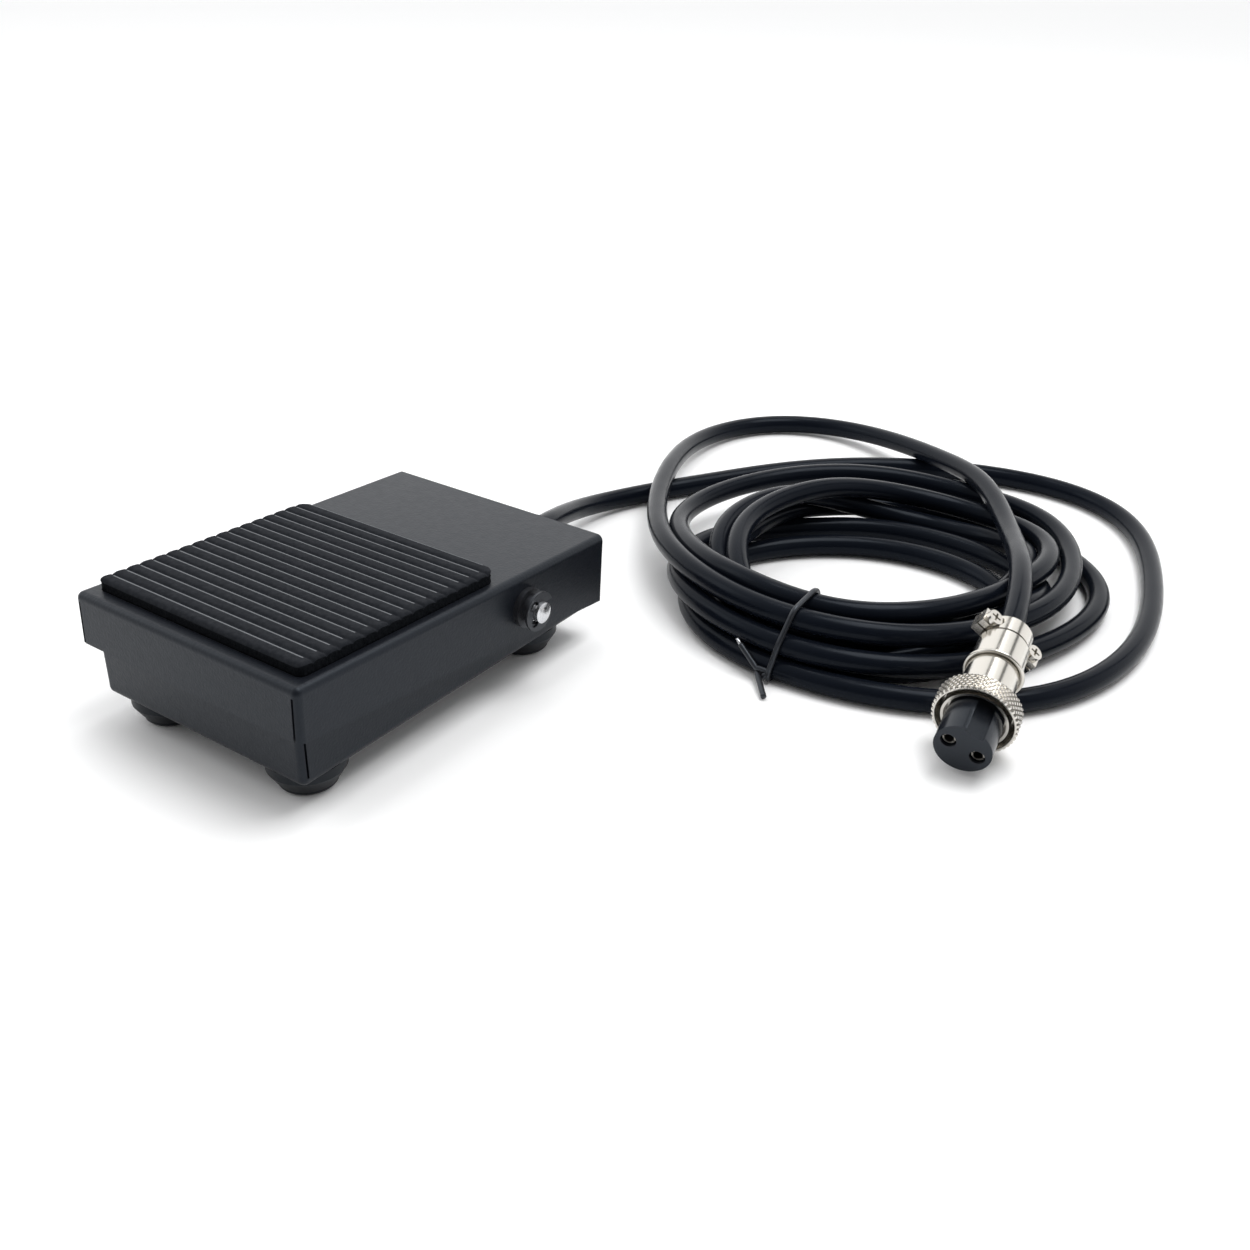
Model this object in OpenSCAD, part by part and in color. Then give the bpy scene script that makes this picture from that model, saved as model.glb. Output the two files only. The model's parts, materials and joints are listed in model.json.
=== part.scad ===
// Foot switch: a pressed-steel treadle rocking on a pivot pin over a folded base tray,
// with a lever micro switch inside and a round cord that ends in a two-pole screw-ring plug.
// Units are millimetres. X is the width, the treadle's free end points to -Y,
// the pivot and the cord are towards +Y, and Z = 0 is the surface under the feet.

/* [Treadle] */
// Width over the side skirts
treadle_w = 68; // [58:1:82]
// Length of the top plate
treadle_l = 100; // [84:1:120]
// Thickness of the treadle's sheet
treadle_t = 1.2; // [1:0.1:1.5]
// Outside radius of the treadle's bends
treadle_bend_r = 1.6; // [1.6:0.1:2.4]
// Depth of the skirt at the free end
skirt_front_h = 12.1; // [11:0.1:14]
// Depth of the skirt at the rear end
skirt_rear_h = 17.8; // [15:0.1:18]
// Width of the open slits beside the front skirt
corner_slit = 0.5; // [0.4:0.1:0.8]

/* [Pivot] */
// Distance from the treadle's rear end to the pivot
pivot_from_rear = 30; // [24:1:36]
// Depth of the pivot below the treadle's top face
pivot_drop = 8.2; // [7:0.1:9]
// Height of the pivot above the tray's underside
pivot_h = 13.6; // [12.5:0.1:15]
// Angle by which the free end stands up at rest
rest_tilt = 2.7; // [2:0.1:3.5]
// Angle through which the treadle is pressed
press_angle = 4.5; // [3:0.1:5]
// Diameter of the pivot pin
pin_d = 5; // [4:0.1:6]
// Length of pin that stands out of each skirt, without its domed end
pin_out = 5.2; // [5:0.1:6]
// Height of the pin's domed end
pin_dome = 0.6; // [0.4:0.1:1]
// Flange and clip diameter
clip_d = 9.6; // [8.6:0.1:11]
// Thickness of the retaining clip
clip_t = 0.6; // [0.5:0.1:0.8]
// Thickness of the bush's flange
bush_flange_t = 1.3; // [1:0.1:1.6]
// Radial running clearance of the pin
pin_clear = 0.05; // [0.03:0.01:0.08]

/* [Pad] */
// Distance from the treadle's side edges to the pad
pad_inset = 3; // [2.5:0.5:8]
// Length of the rubber pad
pad_l = 59.5; // [40:0.5:62]
// Thickness of the rubber pad
pad_t = 2.8; // [2:0.1:3.5]
// Corner radius of the rubber pad
pad_r = 4; // [2:0.5:6]
// Distance from the treadle's front edge to the pad
pad_setback = 4; // [3:0.5:6]

/* [Base] */
// Gap between each skirt and the tray's side wall
side_gap = 1.7; // [1:0.1:2.5]
// Set-back of the tray's front wall from the treadle's front edge
base_setback_front = 2.1; // [2:0.1:3]
// Set-back of the tray's rear wall from the treadle's rear edge
base_setback_rear = 1.6; // [1.5:0.1:6]
// Thickness of the tray's sheet
base_t = 1.2; // [1:0.1:1.5]
// Outside radius of the tray's bends
base_bend_r = 1.6; // [1.3:0.1:2]
// Clearance left at both stops
stop_gap = 0.25; // [0.2:0.05:0.4]

/* [Feet] */
// Height of the feet
foot_h = 6.6; // [5:0.1:8]
// Diameter of a foot against the tray
foot_top_d = 17.2; // [15:0.1:18]
// Diameter of a foot on the floor
foot_bottom_d = 13; // [11.5:0.1:14]
// Height of the straight band under the tray
foot_band = 2.2; // [1.5:0.1:3]
// Distance from the side wall to a foot's centre
foot_inset_x = 9.4; // [9:0.1:12]
// Distance from the front wall to the front feet's centres
foot_inset_front = 9.4; // [9:0.1:14]
// Distance from the rear wall to the rear feet's centres
foot_inset_rear = 15; // [12:0.5:18]
// Diameter of the foot screws
foot_screw_d = 3; // [2.5:0.5:3.5]

/* [Return spring] */
// Outside diameter of the return spring
spring_d = 11; // [9:0.5:13]
// Wire diameter of the return spring
spring_wire = 1.1; // [0.8:0.1:1.4]
// Number of turns
spring_turns = 6; // [4:1:8]
// Distance from the front wall to the spring's axis
spring_inset = 14; // [12:0.5:18]

/* [Micro switch] */
// Length of the switch case
switch_l = 19.8; // [18:0.1:21]
// Thickness of the switch case
switch_w = 6.4; // [5.8:0.1:7]
// Height of the switch case
switch_h = 9.6; // [9:0.1:10]
// Distance from the pivot forward to the switch
switch_ahead = 32; // [24:0.5:36]
// Height of the case above the tray's floor
switch_lift = 4.8; // [4.5:0.1:5.2]
// Spacing of the two case holes
switch_pitch = 9.5; // [9:0.1:10]
// Diameter of the case screws
switch_screw_d = 2.2; // [2:0.1:2.3]
// Angle by which the switch lever stands up at rest
lever_rise = 10; // [9:0.5:12]

/* [Cord] */
// Diameter of the cord
cord_d = 5.8; // [4.8:0.1:6.4]
// Height of the cord's exit above the tray's floor
exit_h = 5.2; // [5:0.1:6]
// Length of the strain relief outside the rear wall
relief_l = 20; // [16:1:26]
// Diameter of the strain relief at the wall
relief_d = 10; // [9:0.1:10.4]

/* [Plug] */
// Diameter of the plug's coupling nut
nut_d = 19.2; // [18:0.1:20]
// Length of the coupling nut
nut_l = 5; // [4.5:0.1:6]
// Distance from the insert's face back to the coupling nut
nut_back = 9.2; // [8.5:0.1:10]
// Diameter of the plug's insert
insert_d = 12.8; // [12:0.1:13]
// Diameter of the backshell
shell_d = 12; // [11.4:0.1:12.8]
// Length of the plug up to the rear of the backshell's tube
shell_back = 34.6; // [33:0.1:37]
// Upward tilt of the plug's rear end
plug_pitch = 12; // [12:0.5:13]

/* [Hidden] */
$fn = 64;
small_fn = 32;
eps = 0.01;

// Colours
black_paint = [0.07, 0.07, 0.08];
black_rubber = [0.05, 0.05, 0.05];
black_plastic = [0.09, 0.09, 0.1];
cord_black = [0.06, 0.065, 0.08];
zinc = [0.75, 0.76, 0.78];
nickel = [0.8, 0.79, 0.76];
brass_gold = [0.8, 0.66, 0.35];

// --- Treadle: its own frame has the pivot at the origin and the plate level ---
pivot_z = foot_h + pivot_h;
pad_w = treadle_w - 2 * pad_inset;
treadle_front = -(treadle_l - pivot_from_rear);
treadle_rear = pivot_from_rear;
plate_top = pivot_drop;
plate_under = plate_top - treadle_t;
// The pivot stands where the tilted treadle is centred over the origin
pivot_y = (treadle_l - 2 * pivot_from_rear) / 2 * cos(rest_tilt)
    - (pivot_drop - (skirt_front_h - pivot_drop)) / 2 * sin(rest_tilt) + 0.02;

// --- Base tray ---
base_w = treadle_w - 2 * (treadle_t + side_gap);
base_front = pivot_y + treadle_front + base_setback_front;
base_rear = pivot_y + treadle_rear - base_setback_rear;
base_under = foot_h;
base_floor = foot_h + base_t;
// Plate underside above a point of the tray, with the free end raised by an angle
function plate_z(y, raise) =
    pivot_z + plate_under * cos(raise) - (y - pivot_y) * sin(raise);
rear_wall_top = plate_z(base_rear, rest_tilt) - stop_gap;
front_wall_top = plate_z(base_front, rest_tilt - press_angle) - stop_gap;
side_wall_top = front_wall_top - 0.2;

// --- Pivot hardware ---
skirt_x = treadle_w / 2;
pin_half = skirt_x + pin_out;
groove_gap = 0.05;
clip_x = pin_half - 1.7;
groove_d = pin_d - 1;
bush_bore_d = pin_d + 2 * pin_clear;
bush_barrel_d = pin_d + 2;
bush_nose_d = pin_d + 1.6;
clip_end_gap = 0.3;

// --- Feet ---
foot_x = base_w / 2 - foot_inset_x;
foot_y_front = base_front + foot_inset_front;
foot_y_rear = base_rear - foot_inset_rear;
foot_head_d = foot_screw_d * 2;
foot_bore_depth = 3;
foot_head_h = 1.8;
foot_nut_d = foot_screw_d * 2.1;
foot_nut_h = 2.4;

// --- Return spring ---
spring_y = base_front + spring_inset;
spring_top = plate_z(spring_y, rest_tilt) - spring_d / 2 * sin(rest_tilt) - 0.3;
spring_bottom = base_floor + 0.6;

// --- Micro switch, in its own frame: X along the case, Z up, origin at the case's middle bottom ---
switch_y = pivot_y - switch_ahead;
switch_z = base_floor + switch_lift;
plunger_x = 2.6;
plunger_d = 2.4;
plunger_clear = 0.03;
plunger_out = 1.25;
cover_t = 1.4;
lever_t = 0.3;
lever_w = 3;
lever_y = 0.7;
lever_ear = 0.7;
lever_ear_gap = 0.1;
lever_hinge_x = 7.6;
lever_hinge_z = switch_h + 0.95;
lever_l = 15.6;
lever_pin_d = 0.9;
striker_x = lever_hinge_x - 14.4;
striker_d = 3;
striker_gap = 0.3;
// Lowest point of the stud's round tip, clear of the raised lever by the gap
striker_tip = switch_z + lever_hinge_z + (lever_hinge_x - striker_x) * tan(lever_rise)
    + (lever_t / 2 + striker_d / 2 + striker_gap) / cos(lever_rise) - striker_d / 2;
terminal_xs = [-7.4, 0, 7.4];
terminal_l = 3.6;
bracket_t = 1;
bracket_foot = 9;

// --- Cord ---
cord_r = cord_d / 2;
exit_z = base_floor + exit_h;
// The free cord and the plug keep their distance behind the treadle
route_treadle_l = 100;
free_shift = (treadle_l - route_treadle_l) / 2;
cord_sides = 10;
relief_end = base_rear + relief_l;
relief_tip_d = cord_d + 1.6;
relief_flange_d = relief_d + 2;
clamp_y = base_rear - 16;
inner_z = base_floor + cord_r + 0.05;
inner_end = clamp_y - 9;
// Lead: along the floor from the strain relief to the coil, passing under the plug
lead_points = [[0, base_rear - free_shift, exit_z], [0, relief_end - free_shift - 8, exit_z],
    [-0.4, relief_end - free_shift, exit_z - 0.2],
    [-2, 78, 11.2], [-6, 88, 8.2], [-10, 101, 4.2],
    [-10, 111, 2.9], [-5, 120, 2.9], [0, 128, 2.9], [7, 141, 2.9], [16, 158, 2.9],
    [26, 172, 2.9], [38, 184, 2.9], [51, 194, 2.9], [65, 201, 2.9], [80, 206, 2.9],
    [94, 208, 2.9], [106, 207, 2.9], [116, 203, 2.9], [125, 195, 2.9], [132, 183, 2.9],
    [139, 166, 2.9], [144, 149, 2.9], [148, 131, 2.9], [148, 115, 2.9], [146, 102, 2.9],
    [142, 90, 2.9], [136, 79, 2.9], [127, 71, 2.9], [116, 65, 2.9], [104, 60, 2.9],
    [92, 57, 2.9], [80, 57, 2.9]];
// Loop: off the top of the coil, over the lead, along the floor behind it and back to the plug
loop_points = [[92, 65, 14.5], [78, 62, 14.5], [64, 64, 14.4], [50, 71, 13.6], [37, 81, 12.6],
    [26, 92, 11.2], [16, 104, 10], [7, 117, 9.2], [0.9, 131.8, 8.7], [-5.8, 147.8, 6.8],
    [-11.1, 166.5, 4.5], [-12.1, 183.1, 3.1], [-5.8, 198, 2.9], [5.2, 208.2, 2.9],
    [19.2, 212.5, 3.2], [37.1, 207.4, 5.6], [54.7, 197.6, 8.3], [70.2, 187.6, 9.5],
    [87.5, 170.6, 11], [101.9, 148.6, 12.9], [113.4, 125.8, 14.9], [121, 107.2, 16.4]];
lead_rings = 44;
loop_rings = 35;

// --- Coil: the outer shape of the wound turns, round but flattened beside the plug ---
coil_centre = [79, 114];
coil_r = 58;
coil_dent = 14;
coil_dent_angle = -34;
coil_dent_width = 30;
coil_top = 17.4;
coil_eye = [80, 103];
coil_eye_r = 29;
tie_wire = 1.5;
tie_x = 83;
tie_skew = 18;

// --- Plug: its own frame has the axis along Y from the insert's face to the cord ---
plug_yaw = 8.4;
plug_roll = 23;
plug_face = [132.8, 44.1];
nut_r = nut_d / 2;
plug_face_z = nut_r * cos(plug_pitch) - nut_back * sin(plug_pitch) + 0.02;
contact_pitch = 7;
contact_hole_d = 3.5;
contact_d = 2.9;
contact_bore_d = 2.2;
contact_recess = 0.8;
key_w = 4.2;
key_depth = 1.5;
sleeve_d = 15;
sleeve_t = 0.6;
sleeve_front = nut_back + 0.2;
sleeve_l = 3;
sleeve_floor = sleeve_front + sleeve_l - 0.8;
nut_bore_d = nut_d - 1.9;
nut_lip = 1.1;
nut_clear = 0.05;
insert_front_l = 9;
insert_back = 22;
// The insert is a little thinner inside the sleeve, and thinner again inside the tube
sleeve_step = 0.25;
tube_wall = 0.6;
front_shell_l = 16;
ring_a = 25.4;
ring_d = 14.2;
ring_t = 0.9;
clamp_roll = 15;
tail_l = 6;
tail_d = 10.8;
saddle_y = shell_back + 3.3;
saddle_w = 4.4;
saddle_d = 11.2;
ear_x = 8.4;
ear_gap = 0.4;
upper_ear_t = 1.6;
lower_ear_t = 2.2;
plug_screw_x = 6.2;
plug_screw_d = 2;
plug_head_d = 3.8;

// ---------- Helpers ----------

module treadle_place() {
    translate([0, pivot_y, pivot_z]) rotate([-rest_tilt, 0, 0]) children();
}

module switch_place() {
    translate([0, switch_y, switch_z]) children();
}

module plug_place() {
    free_place() translate([plug_face[0], plug_face[1], plug_face_z])
        rotate([0, 0, plug_yaw]) rotate([plug_pitch, 0, 0]) rotate([0, plug_roll, 0]) children();
}

module free_place() {
    translate([0, free_shift, 0]) children();
}

module tail_place() {
    plug_place() rotate([0, clamp_roll, 0]) children();
}

// Cylinder along +X from the given start
module rod_x(x, l, d) {
    translate([x, 0, 0]) rotate([0, 90, 0]) cylinder(h = l, d = d);
}

// Cylinder along +Y from the given start
module rod_y(y, l, d) {
    translate([0, y, 0]) rotate([-90, 0, 0]) cylinder(h = l, d = d);
}

// Ring about the Y axis
module ring_y(y, l, d_out, d_in) {
    difference() {
        rod_y(y, l, d_out);
        rod_y(y - 1, l + 2, d_in);
    }
}

// Box with all four upright edges rounded
module rounded_slab(w, l, h, r) {
    translate([-w / 2 + r, -l / 2, 0]) cube([w - 2 * r, l, h]);
    translate([-w / 2, -l / 2 + r, 0]) cube([w, l - 2 * r, h]);
    for (sx = [-1, 1])
        for (sy = [-1, 1])
            translate([sx * (w / 2 - r), sy * (l / 2 - r), 0]) cylinder(h = h, r = r);
}

// Block of width w from y0 to y1 and z0 to z1, its lower side and front edges rounded,
// and its rear lower edge too if rear is true
module bent_block(w, y0, y1, z0, z1, r, rear) {
    y_end = rear ? y1 - r : y1;
    translate([-w / 2 + r, y0 + r, z0]) cube([w - 2 * r, y_end - y0 - r, z1 - z0]);
    translate([-w / 2 + r, y0, z0 + r]) cube([w - 2 * r, y1 - y0, z1 - z0 - r]);
    translate([-w / 2, y0 + r, z0 + r]) cube([w, y_end - y0 - r, z1 - z0 - r]);
    for (s = [-1, 1]) {
        translate([s * (w / 2 - r), y0 + r, z0 + r]) sphere(r = r);
        translate([s * (w / 2 - r), y0 + r, z0 + r]) rotate([-90, 0, 0])
            cylinder(h = y_end - y0 - r, r = r);
        translate([s * (w / 2 - r), y0 + r, z0 + r]) cylinder(h = z1 - z0 - r, r = r);
        if (rear) {
            translate([s * (w / 2 - r), y_end, z0 + r]) sphere(r = r);
            translate([s * (w / 2 - r), y_end, z0 + r]) cylinder(h = z1 - z0 - r, r = r);
        }
    }
    for (y = rear ? [y0 + r, y_end] : [y0 + r])
        translate([-w / 2 + r, y, z0 + r]) rotate([0, 90, 0]) cylinder(h = w - 2 * r, r = r);
}

// Smooth curve through a list of points
function curve_point(p, i, t) =
    let (n = len(p), a = p[max(0, i - 1)], b = p[i], c = p[i + 1], d = p[min(n - 1, i + 2)])
    0.5 * (2 * b + (c - a) * t + (2 * a - 5 * b + 4 * c - d) * t * t
        + (3 * b - a - 3 * c + d) * t * t * t);
function curve_at(p, u) = let (i = min(floor(u), len(p) - 2)) curve_point(p, i, u - i);
function unit(v) = v / norm(v);
function curve_dir(p, u) =
    unit(curve_at(p, min(u + 0.05, len(p) - 1)) - curve_at(p, max(u - 0.05, 0)));
function ring_points(c, t, r, sides) =
    let (s = unit(cross(t, abs(t[2]) > 0.95 ? [0, 1, 0] : [0, 0, 1])), w = cross(s, t))
    [for (k = [0 : sides - 1]) c + r * (cos(360 * k / sides) * s + sin(360 * k / sides) * w)];

// Tube swept along a smooth curve through the points
module tube(p, r, rings, sides) {
    points = [for (i = [0 : rings]) each
        let (u = (len(p) - 1) * i / rings) ring_points(curve_at(p, u), curve_dir(p, u), r, sides)];
    sides_faces = [for (i = [0 : rings - 1]) each [for (k = [0 : sides - 1])
        [i * sides + k, i * sides + (k + 1) % sides,
            (i + 1) * sides + (k + 1) % sides, (i + 1) * sides + k]]];
    start_face = [[for (k = [sides - 1 : -1 : 0]) k]];
    end_face = [[for (k = [0 : sides - 1]) rings * sides + k]];
    polyhedron(points, concat(start_face, sides_faces, end_face), convexity = 8);
}

// ---------- Treadle ----------

// Sloped lower edge of the skirts, as a block of everything below it
module below_skirt() {
    slope = atan2(skirt_rear_h - skirt_front_h, treadle_l);
    translate([0, treadle_front, plate_top - skirt_front_h]) rotate([-slope, 0, 0])
        translate([-treadle_w, -20, -40]) cube([2 * treadle_w, treadle_l + 60, 40]);
}

module treadle() {
    color(black_paint) treadle_place() difference() {
        // bent_block rounds its lower edges, so the channel is built upside down
        translate([0, 0, plate_top]) mirror([0, 0, 1])
            bent_block(treadle_w, treadle_front, treadle_rear, 0, skirt_rear_h + 4,
                treadle_bend_r, false);
        translate([-treadle_w / 2 + treadle_t, treadle_front + treadle_t, -40])
            cube([treadle_w - 2 * treadle_t, treadle_l + 10, 40 + plate_under]);
        below_skirt();
        // Slits where the front skirt meets the side skirts
        for (s = [-1, 1])
            translate([s * (treadle_w / 2 - treadle_t - corner_slit / 2) - corner_slit / 2,
                treadle_front - 1, -40])
                cube([corner_slit, treadle_t + 1.5, 40 + plate_top - treadle_bend_r - 0.6]);
        rod_x(-treadle_w, 2 * treadle_w, bush_barrel_d);
    }
}

module rubber_pad() {
    color(black_rubber) treadle_place()
        translate([0, treadle_front + pad_setback + pad_l / 2, plate_top])
            rounded_slab(pad_w, pad_l, pad_t, pad_r);
}

// Short stud under the plate that centres the spring
module spring_peg() {
    peg_d = spring_d - 2 * spring_wire - 2.4;
    color(zinc) translate([0, spring_y, 0]) difference() {
        translate([0, 0, spring_top - 3]) cylinder(h = 6, d = peg_d);
        translate([0, -spring_y, 0]) treadle_place()
            translate([-20, treadle_front - 5, plate_under]) cube([40, treadle_l, 20]);
    }
}

// Stud under the plate that pushes the switch lever
module striker_stud() {
    stud_r = striker_d / 2;
    stud_y = switch_y + lever_y;
    color(zinc) translate([striker_x, stud_y, 0]) difference() {
        union() {
            translate([0, 0, striker_tip + stud_r]) cylinder(h = 8, d = striker_d);
            translate([0, 0, striker_tip + stud_r]) sphere(r = stud_r, $fn = small_fn);
        }
        translate([-striker_x, -stud_y, 0]) treadle_place()
            translate([-20, treadle_front - 5, plate_under]) cube([40, treadle_l, 20]);
    }
}

// ---------- Base ----------

module base_tray() {
    base_l = base_rear - base_front;
    wall_slot = base_t + corner_slit;
    color(black_paint) difference() {
        bent_block(base_w, base_front, base_rear, base_under, rear_wall_top, base_bend_r, true);
        translate([-base_w / 2 + base_t, base_front + base_t, base_floor])
            cube([base_w - 2 * base_t, base_l - 2 * base_t, 40]);
        // Side walls and front wall are lower than the rear wall
        translate([-base_w, base_front - 1, side_wall_top])
            cube([2 * base_w, base_l + 1 - base_t, 20]);
        // Slits where the side walls meet the end walls
        for (s = [-1, 1])
            for (y = [base_front + base_t, base_rear - base_t - corner_slit])
                translate([s * base_w / 2 - 2, y, base_under + base_bend_r + 0.4])
                    cube([4, corner_slit, 40]);
        translate([0, pivot_y, pivot_z]) rod_x(-base_w, 2 * base_w, pin_d + 2 * pin_clear);
        for (x = [-foot_x, foot_x])
            for (y = [foot_y_front, foot_y_rear])
                translate([x, y, base_under - 1]) cylinder(h = 4, d = foot_screw_d + 0.4);
        for (x = [-1, 1]) {
            translate([x * bracket_screw_x(), bracket_screw_y(), base_under - 1])
                cylinder(h = 4, d = 2.5 + 0.1);
            translate([x * clamp_screw_x(), clamp_y, base_under - 1])
                cylinder(h = 4, d = 2.5 + 0.1);
        }
        translate([0, base_rear, exit_z]) rod_y(-5, 10, relief_d - 1.4);
    }
}

module foot_at(x, y) {
    color(black_rubber) translate([x, y, 0]) difference() {
        rotate_extrude() polygon(concat([[0, 0]],
            [for (a = [-90 : 15 : 0]) [foot_bottom_d / 2 - 1 + cos(a), 1 + sin(a)]],
            [[foot_top_d / 2, foot_h - foot_band], [foot_top_d / 2, foot_h], [0, foot_h]]));
        translate([0, 0, -1]) cylinder(h = foot_bore_depth + 1, d = foot_head_d + 1);
        translate([0, 0, -1]) cylinder(h = foot_h + 2, d = foot_screw_d + 0.4);
    }
}
module foot_front_left() { foot_at(-foot_x, foot_y_front); }
module foot_front_right() { foot_at(foot_x, foot_y_front); }
module foot_rear_left() { foot_at(-foot_x, foot_y_rear); }
module foot_rear_right() { foot_at(foot_x, foot_y_rear); }

module at_feet() {
    for (x = [-foot_x, foot_x])
        for (y = [foot_y_front, foot_y_rear])
            translate([x, y, 0]) children();
}

// Pan-head screw with its head below, pointing up from z = 0 at the head's seat
module pan_screw(d, l, head_d, head_h) {
    cross_l = head_d * 0.64;
    cross_w = head_d * 0.14;
    translate([0, 0, -head_h]) difference() {
        cylinder(h = head_h, d = head_d);
        for (a = [0, 90])
            rotate(a) translate([-cross_l / 2, -cross_w / 2, -1])
                cube([cross_l, cross_w, 1 + head_h / 2]);
    }
    translate([0, 0, -eps]) cylinder(h = l + eps, d = d);
}

module foot_screws() {
    color(zinc) at_feet() translate([0, 0, foot_bore_depth])
        pan_screw(foot_screw_d, foot_h - foot_bore_depth + base_t + foot_nut_h + 0.8,
            foot_head_d, foot_head_h);
}

module foot_nuts() {
    color(zinc) at_feet() translate([0, 0, base_floor]) difference() {
        cylinder(h = foot_nut_h, d = foot_nut_d, $fn = 6);
        translate([0, 0, -1]) cylinder(h = foot_nut_h + 2, d = foot_screw_d + 0.02);
    }
}

// ---------- Pivot ----------

// Pin turned in one piece: domed ends and a groove for each clip
module pivot_pin() {
    r = pin_d / 2;
    dome_r = (pow(r, 2) + pow(pin_dome, 2)) / (2 * pin_dome);
    dome_z = pin_half + pin_dome - dome_r;
    dome_half_angle = asin(r / dome_r);
    dome = [for (k = [1 : 6])
        let (a = dome_half_angle * (1 - k / 6)) [dome_r * sin(a), dome_z + dome_r * cos(a)]];
    groove_in = clip_x - groove_gap;
    groove_out = clip_x + clip_t + groove_gap;
    half = concat([[r, 0], [r, groove_in], [groove_d / 2, groove_in], [groove_d / 2, groove_out],
        [r, groove_out], [r, pin_half]], [for (k = [0 : 4]) dome[k]], [[0, pin_half + pin_dome], [0, 0]]);
    color(zinc) translate([0, pivot_y, pivot_z]) for (s = [-1, 1])
        rotate([0, s * 90, 0]) rotate_extrude() polygon(half);
}

// E-shaped retaining clip in the YZ plane, its middle prong towards -Y
module e_clip(x) {
    lobe_r = pin_d * 0.26;
    translate([x, pivot_y, pivot_z]) difference() {
        rod_x(0, clip_t, clip_d);
        rod_x(-1, clip_t + 2, groove_d + 0.1);
        for (a = [-1, 1])
            translate([0, -pin_d * 0.36, a * pin_d * 0.4]) rod_x(-1, clip_t + 2, 2 * lobe_r);
        translate([-1, 0, -groove_d * 0.42]) cube([clip_t + 2, clip_d, groove_d * 0.84]);
    }
}
module e_clips() {
    color(black_plastic) {
        e_clip(clip_x);
        e_clip(-clip_x - clip_t);
    }
}

module pivot_bush() {
    nose_end = clip_x - clip_end_gap;
    inner_end_x = base_w / 2 + 0.25;
    translate([0, pivot_y, pivot_z]) difference() {
        union() {
            rod_x(inner_end_x, skirt_x - inner_end_x + eps, bush_barrel_d);
            rod_x(skirt_x, bush_flange_t, clip_d);
            rod_x(skirt_x + bush_flange_t - eps, nose_end - skirt_x - bush_flange_t, bush_nose_d);
        }
        rod_x(inner_end_x - 1, nose_end - inner_end_x + 2, bush_bore_d);
    }
}
module pivot_bushes() {
    color(black_plastic) {
        pivot_bush();
        mirror([1, 0, 0]) pivot_bush();
    }
}

// ---------- Return spring ----------

module return_spring() {
    mean_r = (spring_d - spring_wire) / 2;
    rise = spring_top - spring_bottom - spring_wire;
    steps = spring_turns * 16;
    sides = 6;
    // The end turns lie flat: height follows a smooth step over the middle turns
    flat = 1 / spring_turns;
    height_at = function (u) u < flat ? 0.1 * u / flat
        : u > 1 - flat ? 1 - 0.1 * (1 - u) / flat
        : 0.1 + 0.8 * (u - flat) / (1 - 2 * flat);
    helix = function (u) [mean_r * cos(360 * spring_turns * u), mean_r * sin(360 * spring_turns * u),
        spring_bottom + spring_wire / 2 + rise * height_at(u)];
    points = [for (i = [0 : steps]) each
        let (u = i / steps, c = helix(u),
            t = unit([-sin(360 * spring_turns * u), cos(360 * spring_turns * u), 0.1]))
        ring_points(c, t, spring_wire / 2, sides)];
    side_faces = [for (i = [0 : steps - 1]) each [for (k = [0 : sides - 1])
        [i * sides + k, i * sides + (k + 1) % sides,
            (i + 1) * sides + (k + 1) % sides, (i + 1) * sides + k]]];
    start_face = [[for (k = [sides - 1 : -1 : 0]) k]];
    end_face = [[for (k = [0 : sides - 1]) steps * sides + k]];
    color(zinc) translate([0, spring_y, 0])
        polyhedron(points, concat(start_face, side_faces, end_face), convexity = 10);
}

// Pressed cup riveted to the tray's floor under the spring
module spring_seat() {
    boss_d = spring_d - 2 * spring_wire - 1.2;
    color(zinc) translate([0, spring_y, base_floor]) difference() {
        union() {
            cylinder(h = 0.6, d = spring_d + 3);
            cylinder(h = 3, d = boss_d);
        }
        translate([0, 0, -1]) cylinder(h = 3.4, d = boss_d - 1.2);
    }
}

// ---------- Micro switch ----------

function bracket_screw_x() = 7.2;
function bracket_screw_y() = switch_y + switch_w / 2 + bracket_t + bracket_foot * 0.55;

module switch_holes(d, y0, l) {
    for (x = [-switch_pitch / 2, switch_pitch / 2])
        translate([x, 0, 2.9]) rod_y(y0, l, d);
}

module switch_case() {
    color(black_plastic) switch_place() difference() {
        union() {
            translate([-switch_l / 2, -switch_w / 2 + cover_t, 0])
                cube([switch_l, switch_w - cover_t, switch_h]);
            // Two ears that carry the lever's pivot
            for (s = [-1, 1])
                translate([lever_hinge_x - 1,
                    lever_y + s * (lever_w / 2 + lever_ear_gap + lever_ear / 2) - lever_ear / 2,
                    switch_h - eps])
                    cube([2, lever_ear, 1.8]);
        }
        translate([plunger_x, lever_y, switch_h - 5])
            cylinder(h = 6, d = plunger_d + 2 * plunger_clear, $fn = small_fn);
        switch_holes(switch_screw_d + 0.1, -switch_w, 2 * switch_w);
        translate([lever_hinge_x, 0, lever_hinge_z])
            rod_y(-switch_w, 2 * switch_w, lever_pin_d + 0.1, $fn = small_fn);
        for (x = terminal_xs)
            translate([x - 1.6, -0.1, -1]) cube([3.2, 1, 3]);
    }
}

module switch_cover() {
    color([0.14, 0.14, 0.15]) switch_place() difference() {
        translate([-switch_l / 2, -switch_w / 2, 0]) cube([switch_l, cover_t, switch_h]);
        switch_holes(switch_screw_d + 0.1, -switch_w, 2 * switch_w);
    }
}

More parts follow.
